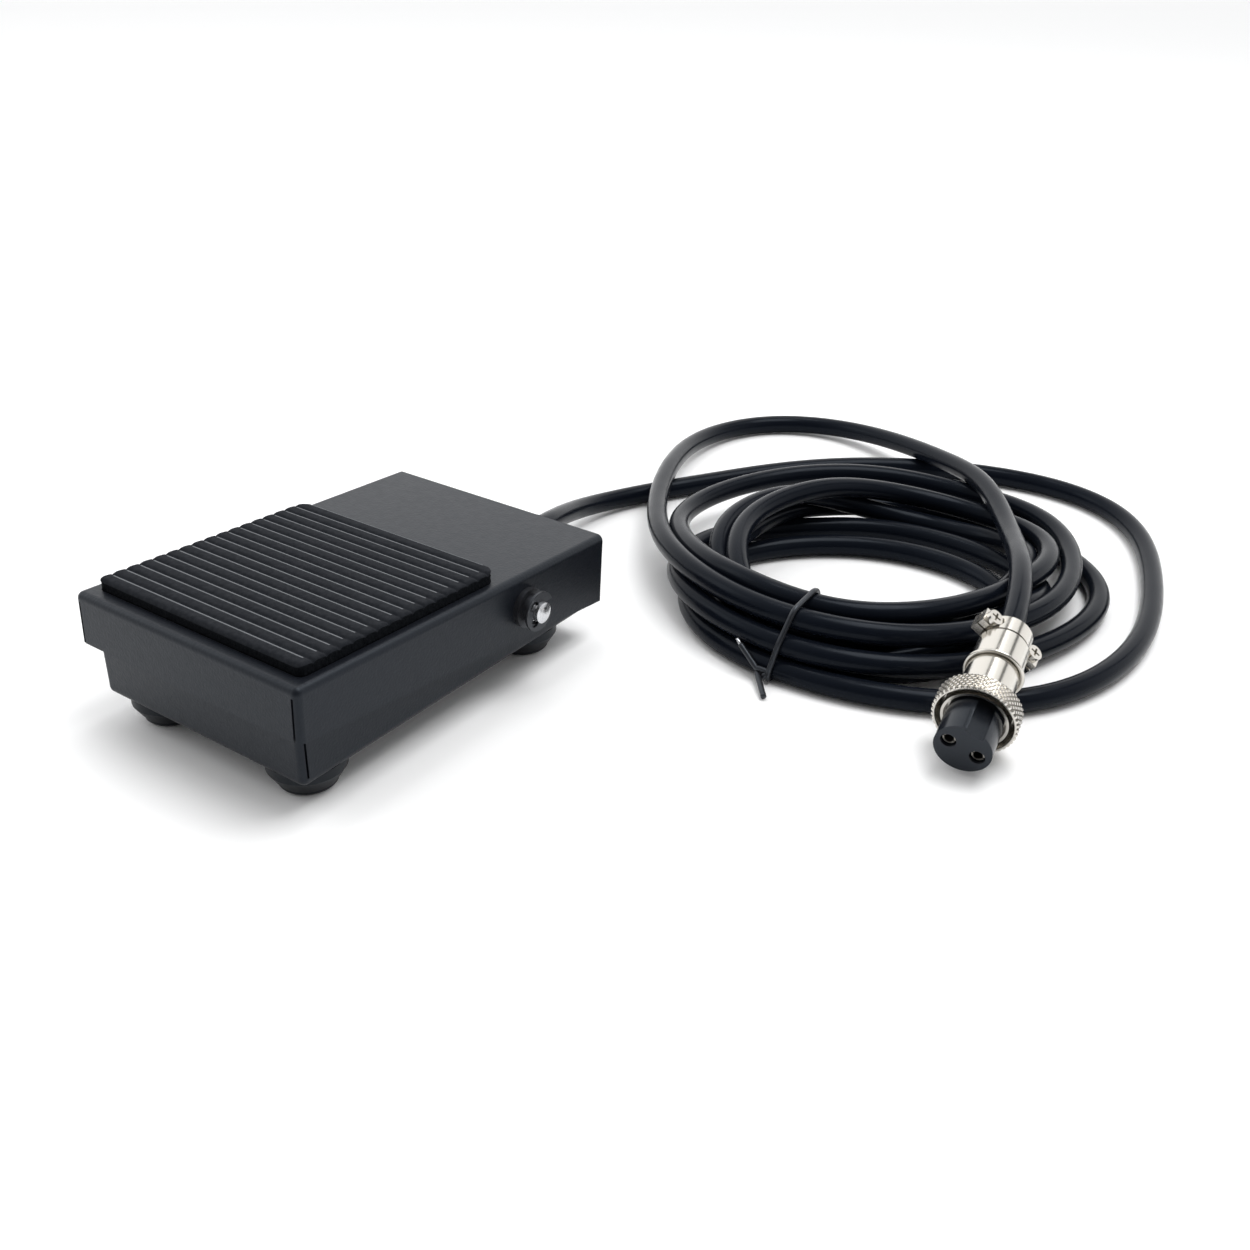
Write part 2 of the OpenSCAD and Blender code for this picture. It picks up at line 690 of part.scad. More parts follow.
module switch_plunger() {
    color([0.6, 0.1, 0.1]) switch_place()
        translate([plunger_x, lever_y, switch_h - 3.6]) {
            cylinder(h = 3.6 + plunger_out - 0.3, d = plunger_d, $fn = small_fn);
            cylinder(h = 3.6 + plunger_out, d = plunger_d - 0.6, $fn = small_fn);
        }
}

// Leaf with a rolled pivot at one end; it stands up by lever_rise at rest
module switch_lever() {
    pin_l = lever_w + 2 * (lever_ear_gap + lever_ear);
    color(zinc) switch_place() translate([lever_hinge_x, lever_y, lever_hinge_z])
        rotate([0, lever_rise, 0]) {
            translate([-lever_l, -lever_w / 2, -lever_t / 2]) cube([lever_l, lever_w, lever_t]);
            rod_y(-pin_l / 2, pin_l, lever_pin_d, $fn = small_fn);
        }
}

module switch_terminals() {
    color(brass_gold) switch_place()
        for (x = terminal_xs)
            difference() {
                translate([x - 1.6, -0.1 + 0.25, -terminal_l]) cube([3.2, 0.5, terminal_l + 2]);
                translate([x, 0, -terminal_l + 1.4]) rod_y(-1, 4, 1.2, $fn = small_fn);
            }
}

module switch_bracket() {
    plate_y = switch_y + switch_w / 2;
    color(zinc) difference() {
        union() {
            translate([-10, plate_y, base_floor]) cube([20, bracket_t, switch_lift + 6.5]);
            translate([-10, plate_y, base_floor]) cube([20, bracket_t + bracket_foot, bracket_t]);
        }
        switch_place() switch_holes(switch_screw_d + 0.2, 0, 10);
        for (s = [-1, 1])
            translate([s * bracket_screw_x(), bracket_screw_y(), base_floor - 1])
                cylinder(h = 4, d = 2.7);
    }
}

module switch_screws() {
    color(zinc) switch_place()
        for (x = [-switch_pitch / 2, switch_pitch / 2])
            translate([x, -switch_w / 2, 2.9]) rotate([-90, 0, 0])
                pan_screw(switch_screw_d, switch_w + bracket_t + 2.2, 3.8, 1.3);
}

module switch_nuts() {
    color(zinc) switch_place()
        for (x = [-switch_pitch / 2, switch_pitch / 2])
            translate([x, switch_w / 2 + bracket_t, 2.9]) rotate([-90, 0, 0]) difference() {
                cylinder(h = 1.6, d = 4.4, $fn = 6);
                translate([0, 0, -1]) cylinder(h = 4, d = switch_screw_d + 0.02);
            }
}

module bracket_screws() {
    color(zinc)
        for (s = [-1, 1])
            translate([s * bracket_screw_x(), bracket_screw_y(), base_floor + bracket_t])
                rotate([180, 0, 0]) pan_screw(2.5, bracket_t + base_t + 0.8, 4.6, 1.6);
}

// ---------- Cord inside the base ----------

function clamp_screw_x() = cord_r + 5;

module strain_relief() {
    color(black_rubber) translate([0, 0, exit_z]) difference() {
        union() {
            rod_y(base_rear - base_t - 1.6, 1.6, relief_flange_d - 2);
            rod_y(base_rear - base_t - 0.2, base_t + 0.4, relief_d - 1.5);
            rod_y(base_rear, 2, relief_flange_d);
            translate([0, base_rear + 2 - eps, 0]) rotate([-90, 0, 0])
                cylinder(h = relief_l - 2, d1 = relief_d, d2 = relief_tip_d);
        }
        rod_y(base_rear - 10, relief_l + 20, cord_d - 0.2);
    }
}

module cord_clamp() {
    arch_r = cord_r - 0.1;
    strap_w = 7;
    clamp_t = 0.9;
    color(zinc) translate([0, clamp_y, 0]) difference() {
        union() {
            translate([-clamp_screw_x() - 3.5, -strap_w / 2, base_floor])
                cube([2 * (clamp_screw_x() + 3.5), strap_w, clamp_t]);
            translate([-arch_r - clamp_t, -strap_w / 2, base_floor])
                cube([2 * (arch_r + clamp_t), strap_w, inner_z - base_floor]);
            translate([0, 0, inner_z]) rod_y(-strap_w / 2, strap_w, 2 * (arch_r + clamp_t));
        }
        translate([0, 0, inner_z]) rod_y(-strap_w, 2 * strap_w, 2 * arch_r);
        translate([-arch_r, -strap_w, base_floor - 1]) cube([2 * arch_r, 2 * strap_w,
            inner_z - base_floor + 1]);
        for (s = [-1, 1])
            translate([s * clamp_screw_x(), 0, base_floor - 1]) cylinder(h = 4, d = 2.7);
    }
}

module cord_clamp_screws() {
    color(zinc)
        for (s = [-1, 1])
            translate([s * clamp_screw_x(), clamp_y, base_floor + 0.9])
                rotate([180, 0, 0]) pan_screw(2.5, 0.9 + base_t + 0.8, 4.6, 1.6);
}

module cord_inner() {
    inner_points = [[0, base_rear, exit_z], [0, base_rear - 3, exit_z],
        [0, (base_rear + clamp_y) / 2 + 1, (exit_z + inner_z) / 2 + 0.35], [0, clamp_y + 5, inner_z],
        [0, clamp_y, inner_z], [0, inner_end, inner_z]];
    color(cord_black) tube(inner_points, cord_r, 12, cord_sides);
}

// One insulated conductor from the stripped cord end to a terminal
module wire(side, terminal_x) {
    wire_d = 1.6;
    end_z = switch_z - terminal_l + 0.9;
    tube([[side * 1.1, inner_end + 3, inner_z], [side * 1.1, inner_end - 3, inner_z],
        [side * 4, pivot_y - 6, base_floor + 1.2], [side * 12.5, switch_y + 16, base_floor + 1.2],
        [side * 13.5, switch_y + 6, base_floor + 1.4], [side * 13, switch_y - 2, base_floor + 2],
        [terminal_x + side * 4, switch_y - 3.4, end_z + 0.3],
        [terminal_x + side * 0.4, switch_y + 0.3, end_z]],
        wire_d / 2, 14, 8);
}
module wire_red() { color([0.6, 0.05, 0.05]) wire(1, terminal_xs[2]); }
module wire_black() { color(black_plastic) wire(-1, terminal_xs[0]); }

// ---------- Free cord ----------

module cord_lead() {
    color(cord_black) free_place() tube(lead_points, cord_r, lead_rings, cord_sides);
}

// The loop ends in the plug's cable clamp
module cord_loop() {
    // The cord runs straight through the clamp and ends inside the backshell
    plug_dir = [-sin(plug_yaw) * cos(plug_pitch), cos(plug_yaw) * cos(plug_pitch), sin(plug_pitch)];
    face = [plug_face[0], plug_face[1], plug_face_z];
    ends = [for (a = [saddle_y + 6, saddle_y, saddle_y - 5]) face + plug_dir * a];
    color(cord_black) free_place()
        tube(concat(loop_points, ends), cord_r, loop_rings, cord_sides);
}

module cord_coil() {
    outline = [for (a = [0 : 6 : 354])
        let (turn = (a > 180 ? a - 360 : a) - coil_dent_angle,
            r = coil_r - coil_dent * exp(-pow(turn / coil_dent_width, 2)))
        coil_centre + r * [cos(a), sin(a)]];
    color(cord_black) free_place() difference() {
        linear_extrude(height = coil_top) polygon(outline);
        translate([coil_eye[0], coil_eye[1], -1]) cylinder(h = coil_top + 2, r = coil_eye_r);
    }
}

// Wire tie once round the near side of the coil, with its twisted tail on the floor
module cord_tie() {
    near = coil_centre[1] - coil_r - cord_r * 0.4;
    far = coil_eye[1] - coil_eye_r;
    half = (far - near) / 2 + 1;
    middle = (far + near) / 2;
    color(black_plastic) free_place() translate([tie_x, middle, 0]) {
        rotate([0, 0, -tie_skew]) difference() {
            translate([-tie_wire / 2, -half - tie_wire, 0])
                cube([tie_wire, 2 * (half + tie_wire), coil_top + 1 + tie_wire]);
            translate([-tie_wire, -half, tie_wire]) cube([2 * tie_wire, 2 * half, coil_top + 1 - tie_wire]);
        }
        translate([-5.5, -half - 2, tie_wire]) sphere(d = 2.6 * tie_wire, $fn = 16);
        translate([-5, -half - 2, tie_wire / 2]) rotate([0, 90, -70])
            cylinder(h = 8, d = tie_wire, $fn = 16);
    }
}

// ---------- Plug ----------

module plug_insert() {
    color(black_plastic) plug_place() difference() {
        union() {
            rod_y(0, insert_front_l, insert_d);
            rod_y(insert_front_l - eps, sleeve_floor - insert_front_l, insert_d - 2 * sleeve_step);
            rod_y(sleeve_floor - 0.5, insert_back - sleeve_floor, shell_d - 2 * tube_wall);
        }
        translate([-key_w / 2, -1, insert_d / 2 - key_depth]) cube([key_w, insert_back - 6, 5]);
        for (s = [-1, 1])
            translate([s * contact_pitch / 2, 0, 0]) rod_y(-1, insert_back + 2, contact_hole_d);
    }
}

// Split sockets, held by a collar at the rear of the insert, with a solder cup behind it
module plug_contacts() {
    color(brass_gold) plug_place()
        for (s = [-1, 1])
            translate([s * contact_pitch / 2, 0, 0]) difference() {
                union() {
                    rod_y(contact_recess, insert_back - contact_recess + 3, contact_d);
                    rod_y(insert_back - 3, 2, contact_hole_d);
                }
                rod_y(contact_recess - 1, 9, contact_bore_d);
                translate([-3, contact_recess - 1, -0.2]) cube([6, 6, 0.4]);
                translate([-0.75, insert_back + 0.6, -3]) cube([1.5, 3, 3.5]);
            }
}

// Tube round the insert, its wide front edge keeps the coupling nut on
module plug_front_shell() {
    color(nickel) plug_place() difference() {
        union() {
            rod_y(sleeve_front, sleeve_l, sleeve_d);
            rod_y(sleeve_front, front_shell_l, shell_d);
        }
        rod_y(sleeve_front - 1, sleeve_floor - sleeve_front + 1, sleeve_d - 2 * sleeve_t);
        rod_y(sleeve_front - 1, front_shell_l + 2, shell_d - 2 * tube_wall);
    }
}

module plug_coupling_nut() {
    color(nickel) plug_place() difference() {
        rod_y(nut_back, nut_l, nut_d);
        rod_y(nut_back - 1, nut_l - nut_lip + 1, nut_bore_d);
        rod_y(nut_back - 1, nut_l + 2, shell_d + 2 * nut_clear);
    }
}

// Tube, then a narrower collar and the lower half of the cable clamp with two ears
module plug_backshell() {
    back_start = sleeve_front + front_shell_l;
    color(nickel) difference() {
        union() {
            plug_place() rod_y(back_start, shell_back - back_start, shell_d);
            plug_place() rod_y(shell_back - eps, 1, tail_d);
            tail_place() difference() {
                union() {
                    rod_y(shell_back - eps, tail_l, tail_d);
                    translate([-ear_x, saddle_y - saddle_w / 2, -lower_ear_t - ear_gap / 2])
                        cube([2 * ear_x, saddle_w, lower_ear_t]);
                }
                translate([-10, shell_back + 1, -ear_gap / 2]) cube([20, tail_l + 5, 20]);
                for (s = [-1, 1])
                    translate([s * plug_screw_x, saddle_y, -8]) cylinder(h = 16, d = plug_screw_d);
            }
        }
        plug_place() rod_y(back_start - 1, shell_back - back_start, shell_d - 2.4);
        plug_place() rod_y(shell_back - 3, tail_l + 8, cord_d - 0.2);
    }
}

module plug_ring() {
    color(nickel) plug_place() ring_y(ring_a, ring_t, ring_d, shell_d);
}

// Upper half of the cable clamp
module plug_clamp_saddle() {
    color(nickel) tail_place() difference() {
        union() {
            rod_y(saddle_y - saddle_w / 2, saddle_w, saddle_d);
            translate([-ear_x, saddle_y - saddle_w / 2, ear_gap / 2])
                cube([2 * ear_x, saddle_w, upper_ear_t]);
        }
        translate([-20, 0, -40 + ear_gap / 2]) cube([40, 80, 40]);
        rod_y(0, 80, cord_d - 0.2);
        for (s = [-1, 1])
            translate([s * plug_screw_x, saddle_y, 0]) {
                translate([0, 0, -1]) cylinder(h = 8, d = plug_screw_d + 0.2);
                translate([0, 0, ear_gap / 2 + upper_ear_t]) cylinder(h = 8, d = plug_head_d + 0.3);
            }
    }
}

module plug_clamp_screws() {
    seat_z = ear_gap / 2 + upper_ear_t;
    color(nickel) tail_place()
        for (s = [-1, 1])
            translate([s * plug_screw_x, saddle_y, seat_z]) rotate([180, 0, 0])
                pan_screw(plug_screw_d, seat_z + lower_ear_t, plug_head_d, 1.4);
}

treadle();
rubber_pad();
spring_peg();
striker_stud();
base_tray();
pivot_pin();
e_clips();
pivot_bushes();
foot_front_left();
foot_front_right();
foot_rear_left();
foot_rear_right();
foot_screws();
foot_nuts();
return_spring();
spring_seat();
switch_case();
switch_cover();
switch_plunger();
switch_lever();
switch_terminals();
switch_bracket();
switch_screws();
switch_nuts();
bracket_screws();
strain_relief();
cord_clamp();
cord_clamp_screws();
cord_inner();
wire_red();
wire_black();
cord_lead();
cord_coil();
cord_loop();
cord_tie();
plug_insert();
plug_contacts();
plug_front_shell();
plug_coupling_nut();
plug_backshell();
plug_ring();
plug_clamp_saddle();
plug_clamp_screws();
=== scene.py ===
import json
import math

import bmesh
import bpy
import numpy as np
from mathutils import Matrix, Vector


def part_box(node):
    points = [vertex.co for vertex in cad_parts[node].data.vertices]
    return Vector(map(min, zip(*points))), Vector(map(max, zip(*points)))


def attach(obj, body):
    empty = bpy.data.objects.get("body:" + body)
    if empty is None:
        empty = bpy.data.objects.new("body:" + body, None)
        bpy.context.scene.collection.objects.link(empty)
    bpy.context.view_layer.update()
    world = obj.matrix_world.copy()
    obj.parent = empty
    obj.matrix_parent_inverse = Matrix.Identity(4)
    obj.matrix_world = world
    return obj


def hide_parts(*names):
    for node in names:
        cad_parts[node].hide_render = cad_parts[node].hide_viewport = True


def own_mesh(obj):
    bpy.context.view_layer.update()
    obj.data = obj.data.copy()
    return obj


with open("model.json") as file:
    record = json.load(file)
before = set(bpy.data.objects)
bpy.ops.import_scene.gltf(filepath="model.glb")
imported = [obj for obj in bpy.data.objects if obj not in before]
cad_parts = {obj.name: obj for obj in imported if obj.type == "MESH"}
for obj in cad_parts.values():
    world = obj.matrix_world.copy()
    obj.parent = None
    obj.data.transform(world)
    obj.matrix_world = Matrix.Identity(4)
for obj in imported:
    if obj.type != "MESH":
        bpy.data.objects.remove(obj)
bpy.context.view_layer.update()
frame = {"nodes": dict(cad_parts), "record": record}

MM = 0.001
CORD_D = 5.8 * MM
CORD_R = CORD_D / 2
FLOOR_Z = 0.0


# ---------- Camera ----------

CAMERA_PLACE = (0.20418, -0.19129, 0.16609)
CAMERA_RIGHT = (0.82169, 0.56949, 0.02265)
CAMERA_UP = (-0.29293, 0.38790, 0.87391)
CAMERA_FORWARD = (-0.48890, 0.72472, -0.48556)
LENS_MM = 38.24


def make_camera():
    data = bpy.data.cameras.new("camera")
    data.sensor_width = 36
    data.lens = LENS_MM
    data.clip_start = 0.01
    camera = bpy.data.objects.new("camera", data)
    bpy.context.scene.collection.objects.link(camera)
    columns = [Vector(CAMERA_RIGHT), Vector(CAMERA_UP), -Vector(CAMERA_FORWARD)]
    turn = Matrix(columns).transposed().to_4x4()
    camera.matrix_world = Matrix.Translation(Vector(CAMERA_PLACE)) @ turn
    bpy.context.scene.camera = camera


make_camera()


# ---------- Cord: the route in millimetres ----------

# The lead from the rear wall along the floor to the tie
LEAD = [
    (0, 48.3, 13), (0, 60.3, 13), (-0.4, 68.3, 12.8), (-2, 78, 11.2), (-6, 88, 8.2), (-10, 101, 4.2),
    (-10, 111, 2.9), (-5, 120, 2.9), (0, 128, 2.9), (7, 141, 2.9), (16, 158, 2.9), (26, 172, 2.9),
    (38, 184, 2.9), (51, 194, 2.9), (65, 201, 2.9), (80, 206, 2.9), (94, 208, 2.9), (106, 207, 2.9),
    (116, 203, 2.9), (125, 195, 2.9), (132, 183, 2.9), (139, 166, 2.9), (144, 149, 2.9),
    (148, 131, 2.9), (148, 115, 2.9), (146, 102, 2.9), (142, 90, 2.9), (136, 79, 2.9), (127, 71, 2.9),
    (116, 65, 2.9), (104, 60, 2.9), (92, 57, 2.9),
]
# The last loop from the tie over the lead and back to the plug
LOOP = [
    (78, 62, 14.5), (64, 64, 14.4), (50, 71, 13.6), (37, 81, 12.6), (26, 92, 11.2), (16, 104, 10),
    (7, 117, 9.2), (0.9, 131.8, 8.7), (-5.8, 147.8, 6.8), (-11.1, 166.5, 4.5), (-12.1, 183.1, 3.1),
    (-5.8, 198, 2.9), (5.2, 208.2, 2.9), (19.2, 212.5, 3.2), (37.1, 207.4, 5.6), (54.7, 197.6, 8.3),
    (70.2, 187.6, 9.5), (87.5, 170.6, 11), (101.9, 148.6, 12.9), (113.4, 125.8, 14.9),
    (121, 107.2, 16.4),
]
# Where the strands lie side by side in the tie: distance from the front and height
TIE_X = 82
TIE_PLACES = [(57, 2.9), (63, 2.9), (58.5, 8.7), (69, 2.9), (65, 8.6), (69.5, 14.3), (62.5, 14.5)]
# Each turn of the coil as its leftmost, rearmost and rightmost point
TURNS = [
    ((40.5, 86, 3), (86, 136, 3), (121, 112, 3)),
    ((42, 100, 8.7), (84, 168, 3), (134.5, 136, 3)),
    ((32, 99, 6.5), (84, 148, 3), (122.2, 129, 6)),
    ((40, 104, 12), (84, 157, 3), (115.5, 137.5, 9)),
    ((44.5, 107, 15), (90, 163, 9), (118, 133, 10.5)),
    ((20.5, 113, 9), (83, 177, 9), (125.4, 127, 8.7)),
]
QUARTER_POINTS = 4
SETTLE_ROUNDS = 150


def quarter(start, end, leaves_along_x):
    """A quarter of an ellipse from start up to, but without, end."""
    points = []
    for i in range(QUARTER_POINTS):
        angle = math.pi / 2 * i / QUARTER_POINTS
        fast, slow = math.sin(angle), 1 - math.cos(angle)
        u, v = (fast, slow) if leaves_along_x else (slow, fast)
        part = i / QUARTER_POINTS
        rise = part * part * (3 - 2 * part)
        points.append((
            start[0] + (end[0] - start[0]) * u,
            start[1] + (end[1] - start[1]) * v,
            start[2] + (end[2] - start[2]) * rise,
        ))
    return points


def coil_points():
    points = []
    for i, (left, back, right) in enumerate(TURNS):
        start = (TIE_X, *TIE_PLACES[i])
        end = (TIE_X, *TIE_PLACES[i + 1])
        points += quarter(start, left, True) + quarter(left, back, False)
        points += quarter(back, right, True) + quarter(right, end, False)
    return points


def plug_axis():
    """A point on the plug's axis at its front face, and the direction to its rear."""
    mounts = {m["name"]: m for m in frame["record"]["mounts"]}
    pin = mounts["plug_insert_pin"]
    rear = -Vector(pin["axis"]).normalized()
    half = pin["dims"]["length_mm"] * MM / 2
    return Vector(pin["pos_m"]) - rear * half, rear


def smooth_curve(points, per_span):
    """Points on a smooth curve through all the given ones."""
    p = np.asarray(points, float)
    curve = []
    for i in range(len(p) - 1):
        a, b, c, d = p[max(0, i - 1)], p[i], p[i + 1], p[min(len(p) - 1, i + 2)]
        for k in range(per_span):
            t = k / per_span
            curve.append(0.5 * (2 * b + (c - a) * t + (2 * a - 5 * b + 4 * c - d) * t ** 2
                                + (3 * b - a - 3 * c + d) * t ** 3))
    curve.append(p[-1])
    return np.array(curve)


def evenly(points, step):
    along = np.r_[0, np.cumsum(np.linalg.norm(np.diff(points, axis=0), axis=1))]
    wanted = np.linspace(0, along[-1], int(round(along[-1] / step)) + 1)
    return np.stack([np.interp(wanted, along, points[:, k]) for k in range(3)], 1)


def along_mean(values, passes):
    """Means of neighbours along the cord, which turn a push at one point into a gentle bend."""
    for _ in range(passes):
        values[1:-1] = (values[:-2] + 2 * values[1:-1] + values[2:]) / 4
    return values


def settle(points, rounds, head, tail):
    """Turns that would cross push each other aside, nothing sinks into the floor, and the
    cord's stiffness evens its bends. The same result comes each time."""
    p = points.copy()
    start = points.copy()
    n = len(p)
    step = np.linalg.norm(np.diff(p, axis=0), axis=1).mean()
    near = int(math.ceil(2.6 * CORD_D / step))
    index = np.arange(n)
    apart = (index[None, :] - index[:, None]) > near
    for turn in range(rounds):
        last = turn > 0.8 * rounds
        gap = p[None, :, :] - p[:, None, :]
        distance = np.sqrt((gap ** 2).sum(2))
        i, j = np.nonzero(apart & (distance < CORD_D))
        push = np.zeros_like(p)
        if len(i):
            way = gap[i, j] / np.maximum(distance[i, j], 1e-6)[:, None]
            amount = (CORD_D - distance[i, j])[:, None] * 0.3
            np.subtract.at(push, i, way * amount)
            np.add.at(push, j, way * amount)
            hits = np.bincount(np.r_[i, j], minlength=n)
            push /= np.maximum(1, hits * 0.6)[:, None]
        p += along_mean(push, 2 if last else 6) * 1.4
        even = np.zeros_like(p)
        even[3:-3] = (p[:-6] + p[6:]) / 2 - p[3:-3]
        bend = np.zeros_like(p)
        bend[3:-3] = (even[:-6] + even[6:]) / 2 - even[3:-3]
        p -= 0.18 * bend
        if not last:
            p += 0.008 * (start - p)
        p[:, 2] = np.maximum(p[:, 2], CORD_R)
        p[:head] = start[:head]
        p[-tail:] = start[-tail:]
    return p


def mesh_piece(name, vertices, faces, smooth=True):
    data = bpy.data.meshes.new(name)
    data.from_pydata([tuple(v) for v in vertices], [], [tuple(f) for f in faces])
    data.polygons.foreach_set("use_smooth", [smooth] * len(data.polygons))
    data.update()
    piece = bpy.data.objects.new(name, data)
    bpy.context.scene.collection.objects.link(piece)
    return piece


def tube(name, line, radius, sides=16, closed=False):
    """A round tube along the line, with rings that don't twist and rounded-off ends."""
    n = len(line)
    if closed:
        ahead = np.roll(line, -1, axis=0) - np.roll(line, 1, axis=0)
    else:
        ahead = np.gradient(line, axis=0)
    ahead /= np.linalg.norm(ahead, axis=1)[:, None]
    side = np.cross(ahead[0], (0, 0, 1))
    if np.linalg.norm(side) < 0.1:
        side = np.cross(ahead[0], (0, 1, 0))
    angles = np.arange(sides) * 2 * math.pi / sides
    rings = []
    for k in range(n):
        side = side - ahead[k] * (side @ ahead[k])
        side /= np.linalg.norm(side)
        other = np.cross(ahead[k], side)
        rings.append(line[k] + radius * (np.outer(np.cos(angles), side) + np.outer(np.sin(angles), other)))
    vertices = list(np.concatenate(rings))
    faces = []
    for k in range(n if closed else n - 1):
        low, high = k * sides, (k + 1) % n * sides
        for j in range(sides):
            m = (j + 1) % sides
            faces.append((low + j, high + j, high + m, low + m))
    if not closed:
        for ring, end in ((0, line[0] - ahead[0] * radius * 0.15), (n - 1, line[-1] + ahead[-1] * radius * 0.15)):
            centre = len(vertices)
            vertices.append(end)
            for j in range(sides):
                m = (j + 1) % sides
                pair = (ring * sides + j, ring * sides + m)
                faces.append((centre, *pair) if ring == 0 else (centre, *pair[::-1]))
    return mesh_piece(name, vertices, faces)


def cord_route():
    face, rear = plug_axis()
    clamp_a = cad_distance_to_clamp(face, rear)
    ends = [tuple((face + rear * a) / MM) for a in (clamp_a + 6 * MM, clamp_a, clamp_a - 5 * MM)]
    route = np.array(LEAD + coil_points() + LOOP + ends) * MM
    return evenly(smooth_curve(route, 8), 2.5 * MM)


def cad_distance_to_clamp(face, rear):
    """How far behind the plug's front face the clamp's middle is."""
    low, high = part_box("plug_clamp_saddle")
    middle = (Vector(low) + Vector(high)) / 2
    return (middle - face).dot(rear)


cord_line = settle(cord_route(), SETTLE_ROUNDS, head=9, tail=4)
cord_line = along_mean(evenly(cord_line, 2 * MM), 5)
cord = tube("cord", cord_line, CORD_R, sides=24)


# ---------- Wire tie ----------

TIE_WIRE_R = 0.7 * MM
TIE_PLANE_X = 81.5 * MM
TIE_SLANT = 0.12
KNOT = Vector((0.0775, 0.0535, 0.0022))
TAIL_END = Vector((0.0835, 0.0465, 0.0008))
BARE_END = Vector((0.0715, 0.0555, 0.0068))


def around_bundle():
    """The wire's closed path round all the strands that pass through the tie."""
    strands = [q for q in cord_line if abs(q[0] - TIE_PLANE_X) < 1.5 * MM and q[1] < 0.085]
    centres = np.array([(q[1], q[2]) for q in strands])
    path = []
    for k in range(72):
        angle = 2 * math.pi * k / 72
        way = np.array([math.cos(angle), math.sin(angle)])
        reach = centres @ way
        y, z = centres[np.argmax(reach)] + way * (CORD_R + TIE_WIRE_R * 0.8)
        z = max(z, TIE_WIRE_R)
        path.append((TIE_PLANE_X + TIE_SLANT * (z - 10 * MM), y, z))
    return evenly(np.array(path + path[:1]), 0.6 * MM)[:-1]


def make_tie():
    ring = tube("tie_loop", around_bundle(), TIE_WIRE_R, closed=True)
    near = min(around_bundle(), key=lambda q: (Vector(q) - KNOT).length)
    start = Vector(near)
    twist = []
    for k in range(25):
        t = k / 24
        centre = start.lerp(KNOT, t)
        swing = 0.75 * MM * math.sin(math.pi * min(1, 2 * t))
        angle = 4 * math.pi * t
        twist.append(centre + Vector((0, math.cos(angle), math.sin(angle))) * swing)
    tail = twist + [KNOT.lerp(TAIL_END, t / 8) for t in range(1, 9)]
    other = [start.lerp(KNOT, t / 6) + Vector((0, 0, 1.2 * MM)) for t in range(6)]
    other += [KNOT.lerp(BARE_END, t / 6) + Vector((0, 0, 0.8 * MM * (1 - t / 6))) for t in range(7)]
    tail_piece = tube("tie_tail", evenly(np.array(tail), 0.5 * MM), TIE_WIRE_R)
    short_piece = tube("tie_short_end", evenly(np.array(other), 0.5 * MM), TIE_WIRE_R)
    tip_way = (BARE_END - KNOT).normalized()
    tip_line = np.array([BARE_END - tip_way * 0.5 * MM, BARE_END + tip_way * 1.6 * MM])
    tip = tube("tie_bare_tip", tip_line, TIE_WIRE_R * 0.6)
    return ring, tail_piece, short_piece, tip


tie_pieces = make_tie()


# ---------- Materials ----------

COOL_TINT = (0.78, 0.88, 1.0)


def shader(name, colour, roughness, metallic=0.0, **sockets):
    material = bpy.data.materials.new(name)
    material.use_nodes = True
    surface = material.node_tree.nodes["Principled BSDF"]
    surface.inputs["Base Color"].default_value = (*colour, 1)
    surface.inputs["Roughness"].default_value = roughness
    surface.inputs["Metallic"].default_value = metallic
    if not metallic:
        surface.inputs["Specular Tint"].default_value = (*COOL_TINT, 1)
    for socket, value in sockets.items():
        surface.inputs[socket.replace("_", " ")].default_value = value
    return material


def add_bump(material, scale, strength, distance=0.0001, detail=2.0, stretch=(1, 1, 1)):
    """Fine relief from noise in the object's own metres."""
    tree = material.node_tree
    surface = tree.nodes["Principled BSDF"]
    place = tree.nodes.new("ShaderNodeTexCoord")
    mapping = tree.nodes.new("ShaderNodeMapping")
    mapping.inputs["Scale"].default_value = stretch
    noise = tree.nodes.new("ShaderNodeTexNoise")
    noise.inputs["Scale"].default_value = scale
    noise.inputs["Detail"].default_value = detail
    bump = tree.nodes.new("ShaderNodeBump")
    bump.inputs["Strength"].default_value = strength
    bump.inputs["Distance"].default_value = distance
    tree.links.new(place.outputs["Object"], mapping.inputs["Vector"])
    tree.links.new(mapping.outputs["Vector"], noise.inputs["Vector"])
    tree.links.new(noise.outputs["Fac"], bump.inputs["Height"])
    tree.links.new(bump.outputs["Normal"], surface.inputs["Normal"])
    return noise


